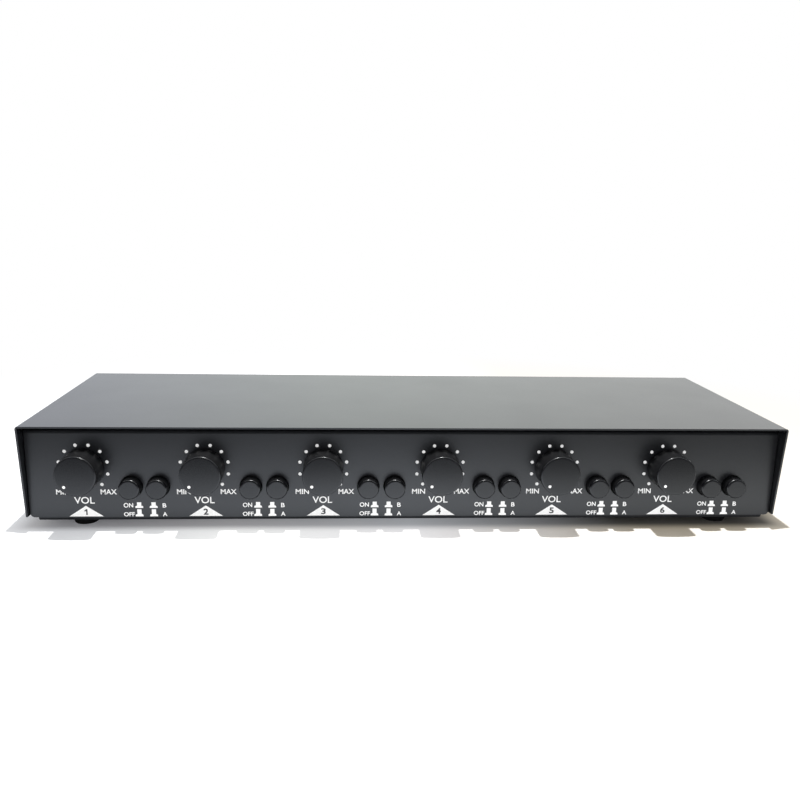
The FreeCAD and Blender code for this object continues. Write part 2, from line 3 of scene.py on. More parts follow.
import bmesh
import bpy
from mathutils import Matrix, Vector


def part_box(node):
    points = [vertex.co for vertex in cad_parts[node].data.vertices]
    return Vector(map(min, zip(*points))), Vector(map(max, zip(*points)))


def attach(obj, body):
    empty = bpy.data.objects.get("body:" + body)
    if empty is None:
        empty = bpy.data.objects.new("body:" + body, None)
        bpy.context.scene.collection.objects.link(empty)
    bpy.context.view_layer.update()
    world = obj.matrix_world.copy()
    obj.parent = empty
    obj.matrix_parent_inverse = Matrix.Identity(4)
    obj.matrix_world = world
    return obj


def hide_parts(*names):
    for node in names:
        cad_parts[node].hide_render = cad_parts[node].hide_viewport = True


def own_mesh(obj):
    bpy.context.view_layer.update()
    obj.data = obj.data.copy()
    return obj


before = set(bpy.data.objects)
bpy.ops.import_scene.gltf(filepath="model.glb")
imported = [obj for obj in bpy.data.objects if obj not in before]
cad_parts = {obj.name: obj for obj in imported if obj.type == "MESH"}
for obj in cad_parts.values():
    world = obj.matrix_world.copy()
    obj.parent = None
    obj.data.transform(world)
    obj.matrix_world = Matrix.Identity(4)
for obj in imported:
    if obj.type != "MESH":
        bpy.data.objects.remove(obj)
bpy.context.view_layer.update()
mm = 0.001


# Camera. It stands a forearm's length in front of the unit, a little left of its middle and above its top,
# and looks down across the cover at the panel. It is held very slightly out of level.
picture_width = 800
focal_length = 809.4
sensor_width = 36
camera_place = (-38.42 * mm, -505.17 * mm, 183.41 * mm)
yaw, pitch, roll = math.radians(3.982), math.radians(13.344), math.radians(1.245)
photo_camera = bpy.data.cameras.new("photo_camera")
photo_camera.sensor_width = sensor_width
photo_camera.lens = focal_length / picture_width * sensor_width
camera = bpy.data.objects.new("photo_camera", photo_camera)
bpy.context.scene.collection.objects.link(camera)
camera.matrix_world = (
    Matrix.Translation(camera_place)
    @ Matrix.Rotation(-yaw, 4, "Z")
    @ Matrix.Rotation(math.pi / 2 - pitch, 4, "X")
    @ Matrix.Rotation(roll, 4, "Z")
)
bpy.context.scene.camera = camera
bpy.context.scene.view_settings.view_transform = "Standard"


# Studio. The unit stands on a white table in a white room, lit from all round and by one small lamp above and
# a little in front, which draws the crisp shadows of the knobs. Glosses show the room, which is darker on the
# left, and the camera sees plain white behind the table.
class Shade:
    """A socket of a shader: arithmetic on it adds Math nodes, and add() makes every other node."""

    def __init__(self, tree, socket=None):
        self.tree = tree
        self.socket = socket

    def add(self, kind, settings=None, sockets=None, output=0):
        """A new node's output. Its settings come first, then the values or links of its sockets."""
        node = self.tree.nodes.new(kind)
        for name, value in (settings or {}).items():
            if name == "stops":
                ramp = node.color_ramp.elements
                while len(ramp) < len(value):
                    ramp.new(1)
                for stop, (place, colour) in zip(ramp, value):
                    stop.position = place
                    stop.color = (*colour, 1)
            else:
                setattr(node, name, value)
        for name, value in (sockets or {}).items():
            if isinstance(value, Shade):
                self.tree.links.new(value.socket, node.inputs[name])
            else:
                node.inputs[name].default_value = value
        return Shade(self.tree, node.outputs[output] if node.outputs else None)

    def result(self, operation, first, second=0.0):
        """What a Math node makes of one or two numbers."""
        return self.add("ShaderNodeMath", {"operation": operation}, {0: first, 1: second})

    def alone(self, operation):
        """What a Math node makes of this number alone."""
        return self.result(operation, self)

    def __add__(self, other):
        return self.result("ADD", self, other)

    def __sub__(self, other):
        return self.result("SUBTRACT", self, other)

    def __rsub__(self, other):
        return self.result("SUBTRACT", other, self)

    def __mul__(self, other):
        return self.result("MULTIPLY", self, other)

    __radd__ = __add__
    __rmul__ = __mul__

    def over(self, other):
        """The larger of the two."""
        return self.result("MAXIMUM", self, other)

    def between(self, low, high):
        """0 at low and before it, 1 at high and beyond it, and smooth between them."""
        return self.add(
            "ShaderNodeMapRange",
            {"interpolation_type": "SMOOTHSTEP"},
            {"Value": self, "From Min": low, "From Max": high},
        )

    def colours(self, first, second):
        """The second colour where this is 1, the first where it is 0."""
        ends = [c if isinstance(c, Shade) else (*c, 1) for c in (first, second)]
        return self.add("ShaderNodeMix", {"data_type": "RGBA"}, {0: self, 6: ends[0], 7: ends[1]}, 2)

    def scaled(self, factor):
        """A colour or a place, times a number."""
        return self.add("ShaderNodeVectorMath", {"operation": "SCALE"}, {0: self, "Scale": factor})

    def part(self, axis):
        """A place's X, Y or Z."""
        return self.add("ShaderNodeSeparateXYZ", sockets={0: self}, output=axis)

    def seen(self):
        """1 for the rays that show a surface, or what is behind it, in the picture or in a gloss."""
        camera_ray, glossy_ray, clear_ray = (
            self.add("ShaderNodeLightPath", output=f"Is {ray} Ray")
            for ray in ("Camera", "Glossy", "Transmission")
        )
        return camera_ray.over(glossy_ray).over(clear_ray)


room = bpy.data.worlds.new("white_room")
bpy.context.scene.world = room
room.use_nodes = True
room.node_tree.nodes.clear()
sky = Shade(room.node_tree)
heading = sky.add("ShaderNodeTexCoord", output="Generated")
sideways = sky.add(
    "ShaderNodeValToRGB",
    {"stops": [(0.30, (1.35, 1.40, 1.55)), (0.50, (1.75, 1.85, 1.80)), (0.75, (1.60, 1.62, 1.60))]},
    {"Fac": heading.part("X") * 0.5 + 0.5},
)
sideways = sideways.scaled(1.1 - 0.32 * heading.part("Z").between(0.10, 0.40))
walls = heading.part("Y").between(-0.55, 0.35).colours((0.13, 0.14, 0.16), sideways)
arch = heading.part("Y").between(-0.34, -0.24) * (1 - heading.part("Y").between(-0.06, 0.04))
walls = (arch * heading.part("Z").between(0.25, 0.45)).colours(walls, (3.2, 3.3, 3.4))
behind_camera = (1 - heading.part("Y").between(-0.75, -0.30)) * (1 - heading.part("Z").between(0.35, 0.70))
lighting = sky.add(
    "ShaderNodeBackground", sockets={"Color": (1, 1, 1, 1), "Strength": 0.45 + 1.1 * behind_camera}
)
backdrop = sky.add("ShaderNodeBackground", sockets={"Color": (1, 1, 1, 1), "Strength": 1.0})
reflected = sky.add("ShaderNodeBackground", sockets={"Color": walls, "Strength": 1.0})
glossy = sky.add("ShaderNodeLightPath", output="Is Glossy Ray")
shown = sky.add("ShaderNodeMixShader", sockets={0: glossy, 1: backdrop, 2: reflected})
sky.add(
    "ShaderNodeOutputWorld",
    sockets={0: sky.add("ShaderNodeMixShader", sockets={0: sky.seen(), 1: lighting, 2: shown})},
)

lamp = bpy.data.lights.new("key_lamp", "AREA")
lamp.shape = "DISK"
lamp.size = 30 * mm
lamp.energy = 12.0
key_lamp = bpy.data.objects.new("key_lamp", lamp)
key_lamp.location = (0, -0.205, 1.0)
key_lamp.rotation_euler = (-key_lamp.location).to_track_quat("-Z", "Y").to_euler()
bpy.context.scene.collection.objects.link(key_lamp)

table_half = 12
table = bmesh.new()
bmesh.ops.create_grid(table, x_segments=1, y_segments=1, size=table_half)
table_mesh = bpy.data.meshes.new("table_top")
table.to_mesh(table_mesh)
table.free()
table_top = bpy.data.objects.new("table_top", table_mesh)
bpy.context.scene.collection.objects.link(table_top)
white_table = bpy.data.materials.new("white_table")
white_table.use_nodes = True
white_table.node_tree.nodes.clear()
top = Shade(white_table.node_tree)
place = top.add("ShaderNodeTexCoord", output="Object")
from_left = place.part("X").between(-0.25, 0.25)
# Painted shadow: the under mask marks the table beneath the case's front edge. There the shown colour is
# painted dark, darker towards the right, and it is painted warmer towards the right overall.
front_shade, rear_shade, end_shade = (-0.064, -0.053), (0.06, 0.11), (0.217, 0.232)
under = (
    place.part("Y").between(*front_shade)
    * (1 - place.part("Y").between(*rear_shade))
    * (1 - place.part("X").alone("ABSOLUTE").between(*end_shade))
)
floor_painted_shade = from_left.colours((0.8, 0.8, 0.8), (0.8, 0.77, 0.72))
lit = top.add("ShaderNodeBsdfDiffuse", sockets={"Color": (0.8, 0.8, 0.8, 1)})
floor_painted_shade = (under * from_left * 0.8).colours(floor_painted_shade, (0.05, 0.045, 0.04))
shown = top.add("ShaderNodeBsdfDiffuse", sockets={"Color": floor_painted_shade})


def banded(*stops):
    """Colours from the table's left to its right."""
    return from_left.add("ShaderNodeValToRGB", {"stops": stops}, {"Fac": from_left})


# Painted light: the table glows in the picture, strongly on the left, faintly and brown on the right, and
# less beneath the case. This sets how dark and how warm its shadows are painted.
painted_fill_glow = banded(
    (0.03, (0.35, 0.36, 0.38)), (0.20, (0.60, 0.61, 0.61)),
    (0.50, (0.54, 0.54, 0.56)), (0.88, (0.08, 0.055, 0.015)),
)
painted_shadow_glow = banded(
    (0.03, (0.09, 0.09, 0.10)), (0.20, (0.20, 0.20, 0.21)),
    (0.50, (0.26, 0.27, 0.29)), (0.85, (0.0, 0.0, 0.0)),
)
glow = top.add("ShaderNodeEmission", sockets={"Color": under.colours(painted_fill_glow, painted_shadow_glow), "Strength": 1.0})
near = top.add("ShaderNodeAddShader", sockets={0: shown, 1: glow})
white = top.add("ShaderNodeEmission", sockets={"Color": (1, 1, 1, 1), "Strength": 1.0})
distance = place.add("ShaderNodeVectorMath", {"operation": "LENGTH"}, {0: place}, "Value")
picture = top.add("ShaderNodeMixShader", sockets={0: distance.between(0.3, 0.55), 1: near, 2: white})
# Painted reflection: what glosses see of the table is a glow. It is dim far ahead and bright just in front of
# the unit, and it is painted dark at the panel's foot and beneath the case as shade. It is dimmer towards
# both ends and warmer on the right.
painted_floor_reflection = place.part("Y").between(-0.26, -0.12).colours((0.38, 0.40, 0.44), (2.4, 2.55, 2.75))
sides = banded((0.0, (0.72, 0.72, 0.73)), (0.5, (0.97, 0.97, 0.97)), (1.0, (0.70, 0.68, 0.64)))
painted_floor_reflection = painted_floor_reflection.add("ShaderNodeVectorMath", {"operation": "MULTIPLY"}, {0: painted_floor_reflection, 1: sides})
painted_floor_reflection = painted_floor_reflection.scaled(1 - 0.9 * place.part("Y").between(-0.10, -0.068))
mirrored = top.add(
    "ShaderNodeAddShader",
    sockets={
        0: top.add("ShaderNodeBsdfDiffuse", sockets={"Color": painted_floor_reflection.scaled(0.38)}),
        1: top.add("ShaderNodeEmission", sockets={"Color": painted_floor_reflection, "Strength": 0.62 * (1 - under)}),
    },
)
glossy = top.add("ShaderNodeLightPath", output="Is Glossy Ray")
picture = top.add("ShaderNodeMixShader", sockets={0: glossy, 1: picture, 2: mirrored})
top.add(
    "ShaderNodeOutputMaterial",
    sockets={0: top.add("ShaderNodeMixShader", sockets={0: top.seen(), 1: lit, 2: picture})},
)
table_mesh.materials.append(white_table)


# Case. A folded cover over a folded tray, both 1 mm steel with a satin black powder coat, whose skin is
# faintly rippled and has fine grains in it.
def finish(name):
    """A new material with no nodes, and where its surface lies on the piece."""
    material = bpy.data.materials.new(name)
    material.use_nodes = True
    material.node_tree.nodes.clear()
    return material, Shade(material.node_tree).add("ShaderNodeTexCoord", output="Object")


def noise(place, size, detail=2.0, stretch=(1, 1, 1)):
    """Soft grains, that many metres across."""
    stretched = place.add("ShaderNodeMapping", sockets={"Vector": place, "Scale": stretch})
    return place.add("ShaderNodeTexNoise", sockets={"Vector": stretched, "Scale": 1 / size, "Detail": detail})


def bumped(height, depth, under=None):
    """A surface direction whose relief is up to that many metres deep."""
    sockets = {"Height": height, "Distance": depth, "Strength": 1.0}
    if under:
        sockets["Normal"] = under
    return height.add("ShaderNodeBump", sockets=sockets)


def surface(place, **sockets):
    """Feeds a Principled BSDF, and through it the material's output."""
    values = {name.replace("_", " ").title().replace("Ior", "IOR"): value for name, value in sockets.items()}
    shader = place.add("ShaderNodeBsdfPrincipled", sockets=values)
    place.add("ShaderNodeOutputMaterial", sockets={0: shader})


def dress(material, *nodes):
    """Gives CAD nodes their material."""
    for node in nodes:
        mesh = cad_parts[node].data
        mesh.materials.clear()
        mesh.materials.append(material)


case_paint, place = finish("case_paint")
ripple = noise(place, 1.6 * mm, 1.0)
grain = noise(place, 0.35 * mm, 2.0)
patches = noise(place, 40 * mm, 3.0)
surface(
    place,
    base_color=(patches * 0.6 + grain * 0.4).colours((0.0045, 0.0049, 0.006), (0.0080, 0.0084, 0.010)),
    roughness=0.27 + 0.05 * patches + 0.06 * grain,
    normal=bumped(grain, 0.004 * mm, bumped(ripple, 0.008 * mm)),
)
dress(case_paint, "top_cover", "chassis_tray")


# Panel print. White ink, screen-printed on the panel: ten dots round each dial, its captions, and pictures of
# a button pushed in and let out. A dark number lies on the white triangle under each dial.
panel_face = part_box("chassis_tray")[0].y
zones = range(1, 7)


def axis_of(node):
    """The middle of a round node, on the panel's front."""
    low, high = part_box(node)
    return Vector(((low.x + high.x) / 2, panel_face, (low.z + high.z) / 2))


def upright(x, z, wall=panel_face, turn=0.0):
    """Turns what lies on the XY plane to face the front, or the back if turned, at a place on a wall."""
    upright_there = Matrix.Translation((x, wall, z)) @ Matrix.Rotation(turn, 4, "Z")
    return upright_there @ Matrix.Rotation(math.pi / 2, 4, "X")


def piece(shape, name, body, slot, material, *stands_for, smooth=30):
    """An object of that shape, at the origin with its place in its mesh, that moves with a CAD body."""
    bmesh.ops.recalc_face_normals(shape, faces=shape.faces)
    mesh = bpy.data.meshes.new(name)
    shape.to_mesh(mesh)
    shape.free()
    mesh.shade_smooth()
    mesh.set_sharp_from_angle(angle=math.radians(smooth))
    mesh.materials.append(material)
    made = bpy.data.objects.new(name, mesh)
    bpy.context.scene.collection.objects.link(made)
    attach(made, body)
    if stands_for:
        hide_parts(*stands_for)
    return made


def raised(shape, flat, thickness):
    """Gives flat faces on the panel the thickness of a film that stands out to the front."""
    lifted = bmesh.ops.extrude_face_region(shape, geom=flat)["geom"]
    points = [v for v in lifted if isinstance(v, bmesh.types.BMVert)]
    bmesh.ops.translate(shape, verts=points, vec=(0, -thickness, 0))


def letters(shape, text, low_x, high_x, low_z, high_z, film, wall=panel_face, turn=0.0, weight=0.02):
    """Adds a word as a film that fills a box on a wall. Its weight thickens the strokes."""
    curve = bpy.data.curves.new("letters", "FONT")
    curve.body = text
    curve.resolution_u = 4
    curve.extrude = 0.5
    curve.offset = weight
    held = bpy.data.objects.new("letters", curve)
    bpy.context.scene.collection.objects.link(held)
    mesh = bpy.data.meshes.new_from_object(held)
    bpy.data.objects.remove(held)
    xs, ys = ([v.co[axis] for v in mesh.vertices] for axis in (0, 1))
    tall = (high_z - low_z) / (max(ys) - min(ys))
    wide = (high_x - low_x) / (max(xs) - min(xs))
    mesh.transform(
        upright((low_x + high_x) / 2, low_z, wall, turn)
        @ Matrix.Diagonal((wide, tall, film, 1))
        @ Matrix.Translation((-(max(xs) + min(xs)) / 2, -min(ys), 0.5))
    )
    shape.from_mesh(mesh)
    bpy.data.meshes.remove(mesh)
    bpy.data.curves.remove(curve)


def stencil(shape, outline, middle_x, low_z, film, wall=panel_face):
    """Adds one flat figure, from its outline in millimetres, as a film on a wall."""
    corners = [shape.verts.new((middle_x + x * mm, wall, low_z + z * mm)) for x, z in outline]
    raised(shape, [shape.faces.new(corners)], film)


film = 0.05 * mm
weld = 0.001 * mm
dot_ring, dot_radius, dot_sides = 13.7 * mm, 0.95 * mm, 24
mark_count, mark_step, first_mark = 10, 30, -135
triangle, triangle_foot = [(-9.45, 0), (9.45, 0), (0, 6.35)], -28.75
figure_one = [(-0.08, 0), (0.68, 0), (0.68, 3.5), (0.1, 3.5), (-0.95, 2.75), (-0.95, 2.05), (-0.08, 2.5)]
one_foot, figure_foot, figure_top, figure_half = -27.9, -28.0, -24.3, 1.35
dots, words, triangles, pictures, numbers = (bmesh.new() for _ in range(5))
for n in zones:
    dial = axis_of(f"volume_knob_{n}")

    def on_panel(x, z):
        """A place that many millimetres from the dial's axis."""
        return dial.x + x * mm, dial.z + z * mm

    for mark in range(mark_count):
        turn = math.radians(mark_step * mark + first_mark)
        spot = upright(dial.x + dot_ring * math.sin(turn), dial.z + dot_ring * math.cos(turn))
        disc = bmesh.ops.create_circle(
            dots, cap_ends=True, segments=dot_sides, radius=dot_radius, matrix=spot
        )
        raised(dots, list({face for v in disc["verts"] for face in v.link_faces}), film)
    for word, low_x, high_x, low_z, high_z, weight in (
        ("VOL", -6.2, 5.05, -21.1, -17.1, 0.010),
        ("MIN", -15.8, -8.2, -15.6, -12.6, 0.018),
        ("MAX", 8.65, 17.6, -15.6, -12.6, 0.018),
        ("ON", 20.9, 26.2, -23.5, -20.8, 0.018),
        ("OFF", 20.8, 26.9, -28.8, -26.3, 0.018),
        ("B", 42.6, 44.7, -23.6, -21.0, 0.018),
        ("A", 42.5, 45.05, -28.8, -26.3, 0.018),
    ):
        (x0, z0), (x1, z1) = on_panel(low_x, low_z), on_panel(high_x, high_z)
        letters(words, word, x0, x1, z0, z1, film, weight=weight)
    stencil(triangles, triangle, *on_panel(0, triangle_foot), film)
    if n == 1:
        stencil(numbers, figure_one, *on_panel(0, one_foot), film, panel_face - film)
    else:
        (x0, z0), (x1, z1) = on_panel(-figure_half, figure_foot), on_panel(figure_half, figure_top)
        letters(numbers, str(n), x0, x1, z0, z1, film, panel_face - film, weight=0.03)
    for middle_x, foot_z, stem_top in (
        (29.55, -23.8, -20.4), (29.5, -28.85, -24.6), (37.6, -23.8, -20.4), (37.6, -28.85, -24.6),
    ):
        button = [(2.2, 0), (2.2, 0.85), (1.65, 1.35), (1.2, 1.35), (1.2, stem_top - foot_z)]
        button += [(-x, z) for x, z in reversed(button)]
        stencil(pictures, button, *on_panel(middle_x, foot_z), film)

white_ink, place = finish("white_ink")
speckle = noise(place, 0.25 * mm, 3.0)
surface(
    place,
    base_color=speckle.colours((0.90, 0.90, 0.89), (0.97, 0.97, 0.97)),
    roughness=0.5 + 0.1 * speckle,
    normal=bumped(speckle, 0.01 * mm),
)
dark_ink, place = finish("dark_ink")
speckle = noise(place, 0.25 * mm, 3.0)
surface(
    place,
    base_color=speckle.colours((0.02, 0.02, 0.022), (0.035, 0.035, 0.038)),
    roughness=0.45 + 0.1 * speckle,
    normal=bumped(speckle, 0.01 * mm),
)
for shape, name in (
    (dots, "dial_dots"), (words, "panel_words"), (triangles, "zone_triangles"), (pictures, "button_pictures"),
):
    bmesh.ops.remove_doubles(shape, verts=shape.verts, dist=weld)
    piece(shape, name, "chassis", None, white_ink)
bmesh.ops.remove_doubles(numbers, verts=numbers.verts, dist=weld)
piece(numbers, "zone_numbers", "chassis", None, dark_ink)


# Rear print. White ink above the terminals: A and B over the two amplifier inputs, 1 to 6 over the speaker
# outputs, and a plus or a minus over each of their poles.
rear_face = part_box("chassis_tray")[1].y
terminals, terminal_pitch, pole_count, pole_pitch = "AB123456", 48.0, 4, 5.08
mark_low, mark_high, mark_half, narrow_half = 35.0 * mm, 39.6 * mm, 1.7, 0.55
sign_height, sign_half, stroke_half = 31.8, 1.0, 0.22
rear_words = bmesh.new()
for n, mark in enumerate(terminals):
    middle = terminal_pitch * (n - (len(terminals) - 1) / 2)
    half = narrow_half if mark == "1" else mark_half
    low_x, high_x = (middle - half) * mm, (middle + half) * mm
    letters(rear_words, mark, low_x, high_x, mark_low, mark_high, film, rear_face, math.pi)
    for pole in range(pole_count):
        x = middle + pole_pitch * (pole - (pole_count - 1) / 2)
        bars = [(sign_half, stroke_half)]
        if pole % 2:
            bars.append((stroke_half, sign_half))
        for half_x, half_z in bars:
            bmesh.ops.create_cube(
                rear_words, size=1,
                matrix=Matrix.Translation((x * mm, rear_face + film / 2, sign_height * mm))
                @ Matrix.Diagonal((2 * half_x * mm, film, 2 * half_z * mm, 1)),
            )
piece(rear_words, "rear_words", "chassis", None, white_ink)


# Volume knobs. Hollow moulded black caps with a slight taper, a softly rounded front edge and a very slightly
# domed face. A hub inside grips the switch shaft, and a white spot fills the dimple that points at the
# setting.
def turned(outline, segments=96):
    """A shape turned about the Y axis through the origin, from its outline of radius and depth."""
    shape = bmesh.new()
    points = [shape.verts.new((radius * mm, depth * mm, 0)) for radius, depth in outline]
    for first, second in zip(points, points[1:]):
        shape.edges.new((first, second))
    bmesh.ops.spin(
        shape, geom=shape.verts[:] + shape.edges[:], cent=(0, 0, 0), axis=(0, 1, 0), dvec=(0, 0, 0),
        angle=math.tau, steps=segments, use_merge=True,
    )
    bmesh.ops.remove_doubles(shape, verts=shape.verts, dist=weld)
    return shape


snap = 0.01 * mm


def ring_at(shape, radius, depth):
    """The edges that run round the shape at one radius and depth."""
    def there(vert):
        off_radius = abs(math.hypot(vert.co.x, vert.co.z) - radius * mm)
        return off_radius < snap and abs(vert.co.y - depth * mm) < snap
    return [edge for edge in shape.edges if all(there(vert) for vert in edge.verts)]


def rounded(shape, edges, radius, segments):
    """Rounds edges off."""
    bmesh.ops.bevel(
        shape, geom=edges, offset=radius * mm, offset_type="OFFSET", segments=segments, profile=0.5,
        affect="EDGES", material=-1,
    )


knob_face, knob_base = -15.4, -0.8
face_radius, base_radius, cavity_radius = 11.35, 11.4, 9.5
cavity_depth, hub_radius, hub_end = -13.4, 5.0, -7.7
bore_radius, bore_end = 3.02, -12.92
base_rounding, face_rounding, flat_radius = 0.2, 0.9, 9.9
gloss_end, matt_start = 0.7, 1.5
pointer_x, pointer_z, pointer_radius, pointer_sides, dimple_depth = -6.01, -6.01, 0.85, 32, 0.25
paint_gap = 0.02
knob_plastic, place = finish("knob_plastic")
grain = noise(place, 0.3 * mm, 2.0)
patches = noise(place, 14 * mm, 3.0)
side = (place.part("Y") - panel_face).between((knob_face + gloss_end) * mm, (knob_face + matt_start) * mm)
first_dial, second_dial = axis_of("volume_knob_1"), axis_of("volume_knob_2")
dial_pitch = second_dial.x - first_dial.x
dials_along = (place.part("X") - first_dial.x) * (1 / dial_pitch) + 0.5
from_axis = (dials_along.alone("FRACT") - 0.5) * dial_pitch
above_axis = place.part("Z") - first_dial.z
crown_radius = 260 * mm
crown = (from_axis * from_axis + above_axis * above_axis) * (-0.5 / crown_radius)
surface(
    place,
    base_color=patches.colours((0.0016, 0.0017, 0.0022), (0.0030, 0.0031, 0.0038)),
    roughness=0.24 + 0.06 * grain + 0.26 * side,
    specular_ior_level=0.4,
    normal=bumped(crown, 1.0, bumped(grain, 0.004 * mm)),
)
for n in zones:
    dial = axis_of(f"volume_knob_{n}")
    knob = turned(
        [
            (flat_radius, knob_face), (face_radius, knob_face), (base_radius, knob_base),
            (cavity_radius, knob_base), (cavity_radius, cavity_depth), (hub_radius, cavity_depth),
            (hub_radius, hub_end), (bore_radius, hub_end), (bore_radius, bore_end), (0, bore_end),
        ]
    )
    rounded(knob, ring_at(knob, base_radius, knob_base), base_rounding, segments=3)
    rounded(knob, ring_at(knob, face_radius, knob_face), face_rounding, segments=7)
    spot = upright(pointer_x * mm, pointer_z * mm, knob_face * mm)
    circle = bmesh.ops.create_circle(knob, segments=pointer_sides, radius=pointer_radius * mm, matrix=spot)
    dimple = list({edge for v in circle["verts"] for edge in v.link_edges})
    bmesh.ops.triangle_fill(
        knob, edges=dimple + ring_at(knob, flat_radius, knob_face), use_beauty=True, normal=(0, -1, 0)
    )
    wall = bmesh.ops.extrude_edge_only(knob, edges=dimple)["geom"]
    floor = [v for v in wall if isinstance(v, bmesh.types.BMVert)]
    bmesh.ops.translate(knob, verts=floor, vec=(0, dimple_depth * mm, 0))
    rim = [e for e in wall if isinstance(e, bmesh.types.BMEdge) and all(v in floor for v in e.verts)]
    bmesh.ops.edgeloop_fill(knob, edges=rim)
    bmesh.ops.translate(knob, verts=knob.verts, vec=dial)
    piece(knob, f"dial_{n}", f"volume_{n}", "knob_plastic", knob_plastic, f"volume_knob_{n}")

    paint = bmesh.new()
    bmesh.ops.create_circle(
        paint, cap_ends=True, segments=pointer_sides, radius=(pointer_radius - paint_gap) * mm,
        matrix=Matrix.Translation(dial + Vector((0, dimple_depth * mm, 0))) @ spot,
    )
    raised(paint, paint.faces[:], (dimple_depth - paint_gap) * mm)
    piece(paint, f"dial_pointer_{n}", f"volume_{n}", None, white_ink)


# Button caps. Round black caps that push onto square plungers, with a soft rim round a flat face. They slide
# in the panel's holes with half a millimetre of air all round.
cap_radius, cap_face, cap_skirt = 6.0, -6.4, 4.0
cap_inner, cap_inner_face = 4.8, -4.9
cap_edge, cap_flat_radius = 1.3, 4.4
cap_gloss_end, cap_matt_start = 1.2, 2.0
hub_width, socket_width, socket_end = 5.4, 3.1, -4.25
hub_length = cap_skirt - cap_inner_face
hub_place = Matrix.Translation((0, (cap_skirt + cap_inner_face) / 2 * mm, 0))
hub_size = Matrix.Diagonal((hub_width * mm, hub_length * mm, hub_width * mm, 1))
cap_plastic, place = finish("cap_plastic")
grain = noise(place, 0.3 * mm, 2.0)
patches = noise(place, 9 * mm, 3.0)
side = (place.part("Y") - panel_face).between(
    (cap_face + cap_gloss_end) * mm, (cap_face + cap_matt_start) * mm
)
surface(
    place,
    base_color=patches.colours((0.0016, 0.0017, 0.0022), (0.0030, 0.0031, 0.0038)),
    roughness=0.24 + 0.06 * grain + 0.26 * side,
    specular_ior_level=0.4,
    normal=bumped(grain, 0.004 * mm),
)
for kind in ("on_off", "source"):
    for n in zones:
        button = axis_of(f"{kind}_button_{n}")
        cap = turned(
            [
                (0, cap_face), (cap_flat_radius, cap_face), (cap_radius, cap_face), (cap_radius, cap_skirt),
                (cap_inner, cap_skirt), (cap_inner, cap_inner_face), (0, cap_inner_face),
            ],
            segments=64,
        )
        rounded(cap, ring_at(cap, cap_radius, cap_face), cap_edge, segments=8)
        hub = bmesh.ops.create_cube(cap, size=1, matrix=hub_place @ hub_size)
        hub_faces = {face for v in hub["verts"] for face in v.link_faces}
        back = [face for face in hub_faces if face.calc_center_median().y > cap_skirt * mm - snap]
        bmesh.ops.inset_region(cap, faces=back, thickness=(hub_width - socket_width) / 2 * mm)
        bottom = bmesh.ops.extrude_face_region(cap, geom=back)["geom"]
        bmesh.ops.delete(cap, geom=back, context="FACES")
        bmesh.ops.translate(
            cap, verts=[v for v in bottom if isinstance(v, bmesh.types.BMVert)],
            vec=(0, (socket_end - cap_skirt) * mm, 0),
        )
        bmesh.ops.translate(cap, verts=cap.verts, vec=button)
        piece(cap, f"{kind}_cap_{n}", f"{kind}_{n}", "knob_plastic", cap_plastic, f"{kind}_button_{n}")


# Feet and screws. Four matt black rubber feet with a recess for the zinc-plated screw that holds each one.
# The screws of the main board and of the terminals are zinc-plated too, and the cover's four are blackened.
foot_rubber, place = finish("foot_rubber")
pores = noise(place, 0.4 * mm, 4.0)
dust = noise(place, 5 * mm, 3.0)
surface(
    place,
    base_color=(dust * 0.7 + pores * 0.3).colours((0.003, 0.003, 0.0035), (0.012, 0.012, 0.012)),
    roughness=0.72 + 0.18 * pores,
    specular_ior_level=0.1,
    normal=bumped(pores, 0.03 * mm),
)
dress(foot_rubber, "rubber_feet")

bright_screw, place = finish("bright_screw")
brushed = noise(place, 0.1 * mm, 2.0, stretch=(1, 4, 4))
tarnish = noise(place, 1.4 * mm, 3.0)
surface(
    place,
    base_color=tarnish.colours((0.70, 0.71, 0.74), (0.58, 0.57, 0.53)),
    metallic=1.0,
    roughness=0.24 + 0.14 * tarnish + 0.08 * brushed,
    normal=bumped(brushed, 0.004 * mm),
)
dress(bright_screw, "foot_screws", "board_screws", "terminal_screws")

black_screw, place = finish("black_screw")
brushed = noise(place, 0.12 * mm, 3.0)
rubbed = noise(place, 0.9 * mm, 3.0).between(0.58, 0.75)
surface(
    place,
    base_color=rubbed.colours((0.018, 0.018, 0.020), (0.075, 0.072, 0.068)),
    metallic=0.65,
    roughness=0.36 + 0.2 * brushed,
    normal=bumped(brushed, 0.006 * mm),
)
dress(black_screw, "cover_screws")


# Rotary switches. Nickel-plated brass bushings, nuts, washers and shafts, whose lathe marks run round the
# shaft, on black moulded housings. The push switches' housings are moulded in the same plastic.
switch_metal, place = finish("switch_metal")
turning = noise(place, 0.09 * mm, 1.0, stretch=(0.04, 1, 0.04))
stain = noise(place, 3 * mm, 3.0)
surface(
    place,
    base_color=(stain * 0.6 + turning * 0.4).colours((0.70, 0.68, 0.63), (0.52, 0.51, 0.50)),
    metallic=1.0,
    roughness=0.22 + 0.12 * stain + 0.08 * turning,
    normal=bumped(turning, 0.006 * mm),
)
dress(
    switch_metal, "rotary_switch_bushings", "bushing_nuts", "bushing_washers",
    *[f"switch_shaft_{n}" for n in zones],
)

switch_plastic, place = finish("switch_plastic")
filler = noise(place, 0.25 * mm, 3.0)
flow = noise(place, 6 * mm, 2.0, stretch=(1, 0.3, 1))
surface(
    place,
    base_color=(flow * 0.6 + filler * 0.4).colours((0.010, 0.010, 0.011), (0.030, 0.029, 0.028)),
    roughness=0.42 + 0.16 * filler,
    normal=bumped(filler, 0.012 * mm),
)
dress(switch_plastic, "rotary_switch_housings", "push_switch_housings")


